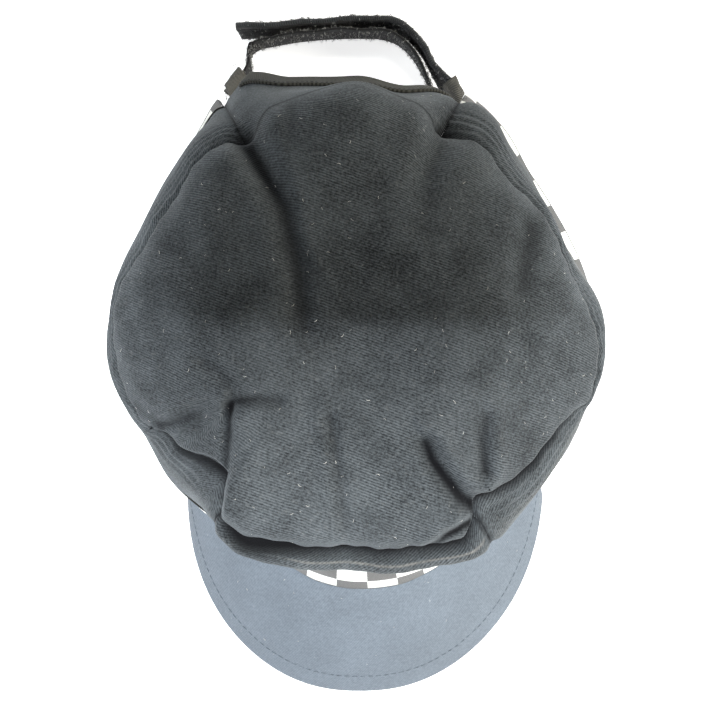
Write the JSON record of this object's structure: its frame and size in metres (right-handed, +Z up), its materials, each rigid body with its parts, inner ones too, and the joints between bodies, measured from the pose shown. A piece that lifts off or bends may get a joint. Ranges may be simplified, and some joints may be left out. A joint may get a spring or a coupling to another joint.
{
  "type": "police cap",
  "caption": "Soft dark twill police cap with a chequered band, a curved peak and a rear opening closed by a hook-and-loop strap.",
  "frame": {"origin": "on the table, under the middle of the whole cap's box", "axes": "+Z up from the table, -Y the way the peak points, +X the wearer's left"},
  "size_m": [0.19, 0.2572, 0.0925],
  "materials": {
    "crown_cloth": "brushed cotton twill, dark navy",
    "peak_cloth": "smooth twill over a stiff peak, slate",
    "chequered_ribbon": "woven black and white checks in three rows",
    "binding_tape": "herringbone cotton tape",
    "strap_pile": "brushed loop pile on woven tape",
    "strap_hooks": "woven nylon tape with small hooks"
  },
  "bodies": {
    "root": {"top_panel": "crown_cloth", "front_panel": "crown_cloth", "side_panel_left": "crown_cloth", "side_panel_right": "crown_cloth", "chequered_band": "chequered_ribbon", "peak": "peak_cloth", "arch_binding": "binding_tape", "tab_left": "crown_cloth", "tab_right": "crown_cloth", "strap_outer": "strap_pile", "strap_inner": "strap_hooks"}
  },
  "joints": []
}
